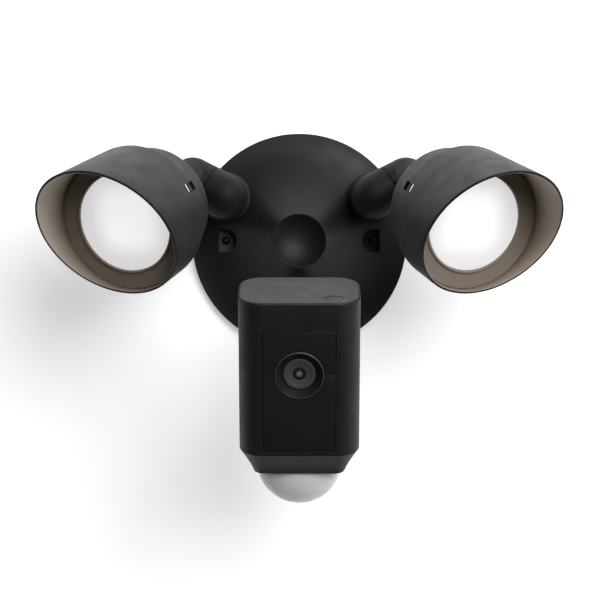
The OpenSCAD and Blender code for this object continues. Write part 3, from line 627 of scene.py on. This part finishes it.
def canopy_parts():
    outer, sizes = canopy_side(0, 0.9, 0.55)
    shell = lathe("canopy_shell", rounded(outer + [(0, FOOT)], sizes + [0.0]), WALL, 160)
    inner, _ = canopy_side(SHELL, 0, 0)
    hollow = lathe("tool", inner + [(0, FOOT - 1)], WALL, 96)
    keep = [rod(15, FOOT - 2, 34, WALL @ Matrix.Translation((x, z, 0)), 72) for x, z in PORTS]
    for side in (-1, 1):
        cup = [(-side * x, y) for x, y in d_outline(8.6, 5.6)]
        place = WALL @ Matrix.Translation((side * SCREW_X, 0, 0))
        keep.append(loft("tool", [(cup, 4.6), (cup, 34)], place))
    cut(hollow, *keep)
    cut(shell, hollow)
    outline = rounded([(0, FOOT), (15, FOOT), (15, COLLAR_FOOT), (0, COLLAR_FOOT)], [0, 0, 0.9, 0])
    bosses = [lathe("tool", outline, WALL @ Matrix.Translation((x, z, 0)), 72) for x, z in PORTS]
    join(shell, *bosses)
    holes = []
    for side in (-1, 1):
        pocket = [(-side * x, y) for x, y in d_outline(6.75, 4.2)]
        place = WALL @ Matrix.Translation((side * SCREW_X, 0, 0))
        holes.append(loft("tool", [(pocket, 7), (pocket, 40)], place))
        holes.append(rod(1.7, 0, 20, place))
    for x, z in PORTS:
        place = WALL @ Matrix.Translation((x, z, 0))
        holes.append(rod(9.05, 0, 40, place, 64))
        holes.append(rod(13, 0, 9, place, 64))
    cut(shell, *holes)
    stands_for(shell, "base", "canopy")
    # painted light: the pocket floor and wall faces get the lighter copy of the black
    shell.data.materials.append(POCKET_PAINTED_LIGHT)
    for face in shell.data.polygons:
        x, y, z = face.center / MM
        in_pocket = abs(abs(x) - SCREW_X) < 7 and abs(z) < 6.7 and y > -12
        if in_pocket and (abs(y + 7) < 0.1 or abs(face.normal.y) < 0.05):
            face.material_index = 1

    outline = rounded([(9.05, 20), (14, 20), (14, 24), (9.05, 24)], [0, 0, 0.8, 0.3])
    rings = [lathe("port_rings", outline, WALL @ Matrix.Translation((x, z, 0)), 96) for x, z in PORTS]
    join(rings[0], *rings[1:])
    stands_for(rings[0], "base", "port_collars")


canopy_parts()

# -------------------------------------------------------------------- arms

ARM_RADIUS = 13.4
CORNER_RADIUS = 13.45
SEAM = 0.3


def tube_outline(radius, z0, z1, start_round, end_round):
    return rounded([(0, z0), (radius, z0), (radius, z1), (0, z1)], [0, start_round, end_round, 0])


def arm_parts():
    elbow = lathe("elbow", tube_outline(ARM_RADIUS, COLLAR_TOP + SEAM, 45, 0.5, 0), ELBOW_PORT, 96)
    join(
        elbow,
        ball(CORNER_RADIUS, Matrix.Translation(ELBOW)),
        lathe("tool", tube_outline(ARM_RADIUS, 0, SEAM_AT - SEAM / 2, 0, 0.45), LINK, 96),
        rod(8.95, 2.5, COLLAR_TOP + 1, ELBOW_PORT, 64),
    )
    cut(
        elbow,
        rod(5, 0, 44, ELBOW_PORT),
        ball(5.4, Matrix.Translation(ELBOW), steps=48),
        rod(5, 0, SEAM_AT - 1, LINK),
        rod(8.55, SEAM_AT - 6, SEAM_AT + 10, LINK, 64),
        rod(14, SEAM_AT - SEAM / 2 + 0.03, SEAM_AT + 13, LINK, 96),
    )
    both_sides(elbow, "arm_elbow", "arm")

    outline = tube_outline(ARM_RADIUS, SEAM_AT + SEAM / 2, LINK_LENGTH, 0.45, 0)
    knuckle = lathe("knuckle", outline, LINK, 96)
    join(
        knuckle,
        ball(CORNER_RADIUS + 0.03, Matrix.Translation(KNUCKLE)),
        lathe("tool", tube_outline(13.1, -85, -70, 0, 0.5), LAMP, 96),
        rod(8, -71, -57, LAMP, 64),
        lathe("tool", tube_outline(4, 8, 18, 0, 0.6), CLAMP, 48),
    )
    cut(
        knuckle,
        rod(2 * ARM_RADIUS, -ARM_RADIUS, SEAM_AT + SEAM / 2 - 0.03, LINK, 64),
        rod(8.55, 0, SEAM_AT + 6, LINK, 64),
        rod(10.4, SEAM_AT + 3.6, SEAM_AT + 6.6, LINK, 64),
        rod(5, SEAM_AT, LINK_LENGTH - 1, LINK),
        ball(5.4, Matrix.Translation(KNUCKLE), steps=48),
        rod(5, -85, 0, LAMP),
        rod(1.5, 8, 26, CLAMP, 32),
        rod(2.9, 15.8, 21, CLAMP, 32),
    )
    both_sides(knuckle, "knuckle", "joint")


arm_parts()

# ------------------------------------------------------------------- lamps

HOOD_RADIUS = 40.1
HOOD_DRAFT = 0.03
HOOD_WALL = 1.6
HOOD_BACK = 19
RIM_MID = 22
RIM_SLOPE = tan(radians(24.6))
LIP_RADIUS = 36.2
LIP = 2.2
NECK_RADIUS = 13.1
TAPER_RADIUS = 33
TAPER_END = 36
NECK_AT = 58


def hood():
    """Drum with a slanted, rounded rim; each column of the mesh has its own profile."""
    steps = 160
    verts, faces = [], []
    count = 0
    for k in range(steps):
        angle = 2 * pi * k / steps
        tilt = RIM_SLOPE * sin(angle)
        back = HOOD_RADIUS - HOOD_DRAFT * HOOD_BACK
        inside = back - HOOD_WALL
        out_t = (RIM_MID + tilt * HOOD_RADIUS) / (1 - HOOD_DRAFT * tilt)
        in_t = (RIM_MID + tilt * (HOOD_RADIUS - HOOD_WALL)) / (1 - HOOD_DRAFT * tilt)
        outer = HOOD_RADIUS + HOOD_DRAFT * out_t
        inner = HOOD_RADIUS - HOOD_WALL + HOOD_DRAFT * in_t
        lower = [(LIP_RADIUS, -HOOD_BACK), (back, -HOOD_BACK)]
        wall_out = [
            (back + (outer - back) * s / 6, -HOOD_BACK + (out_t + HOOD_BACK) * s / 6) for s in (2, 3, 4, 5)
        ]
        wall_in = [
            (inner + (inside - inner) * s / 6, in_t + (LIP - HOOD_BACK - in_t) * s / 6)
            for s in (1, 2, 3, 4, 5)
        ]
        loop = lower + wall_out + [(outer, out_t), (inner, in_t)] + wall_in
        loop += [(inside, LIP - HOOD_BACK), (LIP_RADIUS, LIP - HOOD_BACK)]
        sizes = [0.3, 2.6] + [0] * 4 + [0.62, 0.62] + [0] * 5 + [0.8, 0.3]
        ring = rounded(loop, sizes)
        count = len(ring)
        verts += [(r * cos(angle), r * sin(angle), t) for r, t in ring]
    for k in range(steps):
        a, b = k * count, ((k + 1) % steps) * count
        faces += [(a + i, a + (i + 1) % count, b + (i + 1) % count, b + i) for i in range(count)]
    piece = make("hood", verts, faces, LAMP)
    cut(piece, notch_tool(LIP_RADIUS + 0.6, HOOD_BACK + 1))
    return piece


def notch_tool(radius, back):
    """The slot at the hood's back edge, on the side towards the arm."""
    return block("tool", (radius, -2.7, -back), (46.8, 2.7, 9 - HOOD_BACK), LAMP @ turn("Z", 24))


def line_hood(piece, side):
    """The inner wall of the hood gets the painted lamp glow, a warm colour standing in for the light the
    lens throws on the black plastic.
    """
    place = LAMP if side == "left" else MIRROR @ LAMP
    back = place.inverted()
    axis = (place.to_3x3() @ Vector((0, 0, 1))).normalized()
    piece.data.materials.append(PAINTED_GLOW_LOOK[side])
    for face in piece.data.polygons:
        spot = back @ (face.center / MM)
        outward = Vector(face.normal) - axis * Vector(face.normal).dot(axis)
        radial = (place.to_3x3() @ Vector((spot.x, spot.y, 0))).normalized()
        if outward.dot(radial) < -0.5 and spot.z > -6 and Vector((spot.x, spot.y)).length < 40:
            face.material_index = 1


def bell(s, drum, neck):
    return neck + (drum - neck) * (1 + cos(pi * s)) / 2


def rear_cap():
    steps = 24
    taper = NECK_AT - TAPER_END
    curve = [
        (bell(i / steps, TAPER_RADIUS, NECK_RADIUS), -TAPER_END - i / steps * taper)
        for i in range(steps, -1, -1)
    ]
    outer = [(0, -69.7), (NECK_RADIUS, -69.7)] + curve
    outer += [(36.0, -19.4), (36.0, -16.7), (37.7, -16.7), (37.7, -1.6), (0, -1.6)]
    sizes = [0, 0.45] + [0] * len(curve) + [0.4, 0, 0.4, 0.3, 0]
    solid = lathe("cap", rounded(outer, sizes), LAMP, 120)
    curve = [
        (bell(i / steps, TAPER_RADIUS - SHELL, 11.3), -TAPER_END + 2 - i / steps * taper)
        for i in range(steps - 1, -1, -1)
    ]
    inner = [(0, -60), (11.3, -60)] + curve
    inner += [(33.8, -19), (33.8, -14.8), (35.8, -14.8), (35.8, 1), (0, 1)]
    hollow = lathe("tool", inner, LAMP, 96)
    wells = [LAMP @ turn("Z", a) @ Matrix.Translation((23, 0, 0)) for a in (90, 210, 330)]
    cut(hollow, *[rod(4.6, -62, -34, w, 32) for w in wells])
    cut(solid, hollow, rod(8.05, -71, -50, LAMP, 64), notch_tool(33, 26))
    cut(solid, *[rod(3.1, -70, -44, w, 40) for w in wells], *[rod(1.6, -60, -30, w, 24) for w in wells])
    return solid


def lamp_parts():
    for side, piece in zip(("left", "right"), both_sides(hood(), "hood", "lamp")):
        line_hood(piece, side)
    both_sides(rear_cap(), "rear_cap", "lamp")
    outline = rounded(
        [(27.9, -1.6), (38.2, -1.6), (38.2, 0), (29.7, 0), (29.0, 1.1), (27.9, 1.1)],
        [0, 0, 0.2, 0.5, 0.35, 0.3],
    )
    both_sides(lathe("bezel", outline, LAMP, 120), "bezel", "lamp")
    crown = [(27.5 * (1 - i / 24), 0.5 + 1.3 * (1 - (1 - i / 24) ** 2)) for i in range(25)]
    outline = [(0, -3), (31.4, -3), (31.4, -1.7), (27.5, -1.7)] + crown
    outline = rounded(outline, [0, 0.2, 0.2, 0, 0.5] + [0] * 24)
    both_sides(lathe("lens", outline, LAMP, 120), "lens", "lamp")


lamp_parts()

# -------------------------------------------------------- stalk and socket

SOCKET_RADIUS = 14.56
SOCKET_OUTER = 18.5


def stalk_parts():
    start = degrees(atan2(sqrt(13 ** 2 - 5 ** 2), 5))
    foot = COLLAR_TOP + SEAM
    outer = [(9, 2.5), (9, foot), (13.4, foot), (13.4, 31), (9, 44), (9, 81.5), (5, 86)]
    sizes = [0.4, 0, 0.5, 2.2, 4.0, 1.0, 0.6]
    sphere = arc((0, BALL_DEPTH), 13, -start, degrees(acos(2.5 / 13)), 40)
    inner = [(2.5, 80.5), (5, 80.5), (5, 2.5)]
    outline = rounded(outer + sphere + inner, sizes + [0] * (len(sphere) + 3))
    stalk = lathe("camera_stalk_skin", outline, STALK_PORT, 96)
    stands_for(stalk, "camera_arm", "camera_stalk")

    low, high = 0.2, 6.8
    levels = [high - (high - low) * i / 10 for i in range(11)]
    bore = [(sqrt(SOCKET_RADIUS ** 2 - z * z), z) for z in levels]
    outline = rounded([(SOCKET_OUTER, low), (SOCKET_OUTER, high)] + bore, [0.3, 1.0] + [0.3] + [0] * 10)
    ring = lathe("clamp_ring_skin", outline, SOCKET, 120)
    grips = [SOCKET @ turn("Z", a) @ Matrix.Translation((19.4, 0, 0)) for a in range(0, 360, 30)]
    cut(ring, *[rod(1.8, -1, 10, grip, 24) for grip in grips])
    stands_for(ring, "camera_head", "clamp_ring")

    levels = ((0, 43.8), (0, 45.6), (0.18, 46.02), (0.6, 46.2))
    plate = [(rounded_rect(38 - 2 * i, 74 - 2 * i, 5 - i, 8), z) for i, z in levels]
    cover = loft("back_cover_skin", plate, COVER)
    root = 44.8 - BALL_BACK
    neck = rounded([(0, root), (SOCKET_OUTER, root), (SOCKET_OUTER, 0), (0, 0)], [0, 0, 0.5, 0])
    join(cover, lathe("tool", neck, SOCKET, 96))
    spots = [COVER @ Matrix.Translation((x * 15, y * 33, 0)) for x in (-1, 1) for y in (-1, 1)]
    holes = [rod(1.6, 42, 49, s, 24) for s in spots]
    cut(cover, ball(SOCKET_RADIUS, SOCKET), rod(3, -30, 0, SOCKET, 32), *holes)
    stands_for(cover, "camera_head", "back_cover")


stalk_parts()

# ------------------------------------------------------------------ camera

HOUSING_W = 65
HOUSING_D = 43
HOUSING_H = 87
HOUSING_CORNER = 13
TOP_ROUND = 1.3
BUTTON = CAMERA @ Matrix.Translation((18.4, 7.5, 0))


def plan(inset, back_inset):
    """Plan of the housing with each side moved in."""
    depth = HOUSING_D - inset - back_inset
    shift = (HOUSING_D + inset - back_inset) / 2
    outline = rounded_rect(HOUSING_W - 2 * inset, depth, HOUSING_CORNER - inset, 14)
    return [(x, y + shift) for x, y in outline]


def dome_point(rx, ry, rz, angle):
    """A point of an oval dome's outline, the angle taken down from its rim."""
    a = radians(angle)
    return (rx * cos(a), ry * cos(a)), -rz * sin(a)


def housing_parts():
    rings = [(plan(0, 0), 0.3 - HOUSING_H), (plan(0, 0), -60), (plan(0, 0), -30)]
    for i in range(7):
        a = radians(90 * i / 6)
        inset = TOP_ROUND * (1 - cos(a))
        rings.append((plan(inset, inset), TOP_ROUND * (sin(a) - 1)))
    shell = loft("camera_housing_skin", rings, CAMERA)
    inner = [(x, y + 22.1) for x, y in rounded_rect(60.2, 37, 10.6, 10)]
    cut(shell, loft("tool", [(inner, -88), (inner, -2.4)], CAMERA))
    opening = [(x, y) for x, y in rounded_rect(24, 60, 4, 6)]
    cut(
        shell,
        block("tool", (-19.6, -1, -84.2), (19.6, 1.7, -15.6), CAMERA),
        block("tool", (-13, -1, -32), (13, 9, -20), CAMERA),
        rod(14, -1, 9, LENS, 64),
        loft("tool", [(opening, 30), (opening, 50)], COVER),
        rod(5.05, -10, 10, BUTTON, 64),
        rod(6.5, -10, -2.4, BUTTON, 64),
    )
    stands_for(shell, "camera_head", "camera_housing")

    rings = []
    for i in range(25):
        s = i / 24
        cove = 1 - (1 - s) ** 1.2
        rings.append((plan(7.8 * cove, cove), -HOUSING_H - 14 * s))
    rounding = ((7.75, 0.99, -100.75), (7.95, 1.15, -100.95), (8.2, 1.4, -101))
    rings = rings[:-1] + [(plan(inset, back_inset), z) for inset, back_inset, z in rounding]
    cove = loft("bottom_bezel_skin", rings[::-1], CAMERA)
    spigot = [(x, y + 22.1) for x, y in rounded_rect(59.8, 36.6, 10.4, 10)]
    join(cove, loft("tool", [(spigot, -HOUSING_H - 0.5), (spigot, 3 - HOUSING_H)], CAMERA))
    dome_at = CAMERA @ Matrix.Translation((0, 24.9, 0))
    cut(
        cove,
        lathe("tool", [(0, -98.4), ((24.5, 16.6), -98.4), ((24.5, 16.6), -80), (0, -80)], dome_at),
        lathe("tool", [(0, -103), ((23.7, 15.8), -103), ((23.7, 15.8), -96), (0, -96)], dome_at),
    )
    stands_for(cove, "camera_head", "bottom_bezel")

    outline = [((24.2, 16.3), 3.6), ((24.2, 16.3), 2.65), ((23.4, 15.5), 2.65), ((23.4, 15.5), 0)]
    outline += [dome_point(23.4, 15.5, 24.4, a) for a in range(4, 90, 4)]
    outline += [(0, -24.4), (0, -23.0)]
    outline += [dome_point(22, 14.1, 23, a) for a in range(88, 0, -4)]
    outline += [((22, 14.1), 0), ((22, 14.1), 3.6)]
    dome = lathe("pir_dome_skin", outline, CAMERA @ Matrix.Translation((0, 24.9, -101)), 96)
    stands_for(dome, "camera_head", "pir_dome")


def window_parts():
    for name, low, high in (("upper_window", -40.35, -15.9), ("lower_window", -83.9, -40.65)):
        panel = block(name + "_skin", (-19.3, 0.05, low), (19.3, 1.65, high), CAMERA, 0.22)
        cut(panel, rod(13.5, -2, 6, LENS, 120))
        stands_for(panel, "camera_head", name)


def lens_parts():
    cone = [(12.3, 0.0), (11.3, 0.62), (11.1, 1.0), (10.4, 1.35)]
    cone += [(10.2, 1.75), (9.5, 2.05), (9.3, 2.4), (8.7, 2.55)]
    outline = [(12.75, -0.6), (13.2, -0.3), (13.2, 1.8), (13.8, 1.8), (13.8, 8), (8.7, 8)] + cone[::-1]
    sizes = [0.12, 0.2, 0, 0, 0, 0] + [0] + [0.08] * 6 + [0.1]
    trim = lathe("lens_ring_skin", rounded(outline, sizes, 3), LENS, 120)
    stands_for(trim, "camera_head", "lens_ring")
    # painted highlight: the front lip of the lens surround gets a lighter plastic, standing in for the
    # bright edge highlight round the lens
    trim.data.materials.append(plastic("lens_ring_lip_painted_highlight", (0.05, 0.05, 0.052), 0.4, 2600.0))
    for face in trim.data.polygons:
        spot = LENS.inverted() @ (face.center / MM)
        if spot.z < 0.02 and Vector((spot.x, spot.y)).length > 12.6:
            face.material_index = 1
    outline = rounded(
        [(8.6, 1.6), (8.6, 16), (3, 16), (3, 4.6), (4.7, 4.6)]
        + [(4.7, 3.2), (3.6, 2.65), (3.6, 2.4), (6.4, 2.1), (6.6, 1.8)],
        [0.3, 0, 0, 0, 0, 0, 0.05, 0.1, 0.1, 0.1],
    )
    stands_for(lathe("lens_barrel_skin", outline, LENS, 96), "camera_head", "lens_barrel")
    front = [(4.6 * i / 12, 11 - sqrt(81 - (4.6 * i / 12) ** 2)) for i in range(12, -1, -1)]
    outline = [(0, 4.5), (4.6, 4.5)] + front
    stands_for(lathe("lens_glass_skin", outline, LENS, 72), "camera_head", "lens_glass")


def button_part():
    dish = [(4.4 * (1 - i / 10), 15.2 - sqrt(256 - (4.4 * (1 - i / 10)) ** 2)) for i in range(11)]
    outline = [(0, -8.4), (1.6, -8.4), (1.6, -4.4), (6.2, -4.4), (6.2, -2.9), (5, -2.9), (5, -0.12)]
    outline += dish
    sizes = [0, 0.2, 0, 0.2, 0.2, 0, 0.45] + [0.15] + [0] * 10
    stands_for(lathe("top_button_skin", rounded(outline, sizes), BUTTON, 72), "button", "top_button")


housing_parts()
window_parts()
lens_parts()
button_part()

# ------------------------------------------------- backdrop, light, camera


def backdrop():
    """The pale wall the light hangs on, with a smooth painted surface. It also glows, weakly low down and
    much more strongly above: painted light that brightens the reflections on the hood tops while the
    shadows near the camera stay dark.
    """
    n = Nodes("wall_paint_and_glow")
    paint = n.ramp(n.noise(9.0, 3.0), [(0.3, (0.93, 0.93, 0.93)), (0.7, (0.96, 0.96, 0.96))])
    n.link(paint, n.shader.inputs["Base Color"])
    n.shader.inputs["Roughness"].default_value = 0.9
    n.shader.inputs["Specular IOR Level"].default_value = 0.1
    n.shader.inputs["Emission Color"].default_value = (1, 1, 1, 1)
    x, y, z = n.local(Matrix.Identity(4))
    # painted light: the wall's glow rises with height from 0.42 to 1.7
    n.link(n.spread(z, 0.42, 1.7, 60, 200), n.shader.inputs["Emission Strength"])
    sheet = block("backdrop", (-2500, 0.4, -2500), (2500, 6, 2500), Matrix.Identity(4))
    sheet.data.materials.append(n.material)


def area_light(name, spot, aim, size, watts, colour=(1, 1, 1)):
    data = bpy.data.lights.new(name, "AREA")
    data.shape = "RECTANGLE"
    data.size, data.size_y = size
    data.energy = watts
    data.color = colour
    lamp = bpy.data.objects.new(name, data)
    lamp.location = spot
    lamp.rotation_euler = (Vector(aim) - Vector(spot)).to_track_quat("-Z", "Y").to_euler()
    bpy.context.scene.collection.objects.link(lamp)


backdrop()
area_light("key", (0.9, -1.9, 1.0), (0, 0, 0), (1.7, 1.7), 62)
area_light("right_side", (1.8, -0.7, -0.7), (0, 0, 0), (0.7, 1.2), 2.8)

world = bpy.data.worlds.new("studio")
world.use_nodes = True
world.node_tree.nodes["Background"].inputs["Color"].default_value = (1, 1, 1, 1)
world.node_tree.nodes["Background"].inputs["Strength"].default_value = 0.07
bpy.context.scene.world = world
bpy.context.scene.view_settings.view_transform = "Standard"

FOCAL = 1968 / 600
camera_data = bpy.data.cameras.new("camera")
camera_data.sensor_width = 36
camera_data.lens = 36 * FOCAL
camera_data.shift_x = 0.65 / 600
camera_data.shift_y = -59.3 / 600
camera = bpy.data.objects.new("camera", camera_data)
camera.location = (0, -1.2, 0)
camera.rotation_euler = (radians(90), 0, 0)
bpy.context.scene.collection.objects.link(camera)
bpy.context.scene.camera = camera
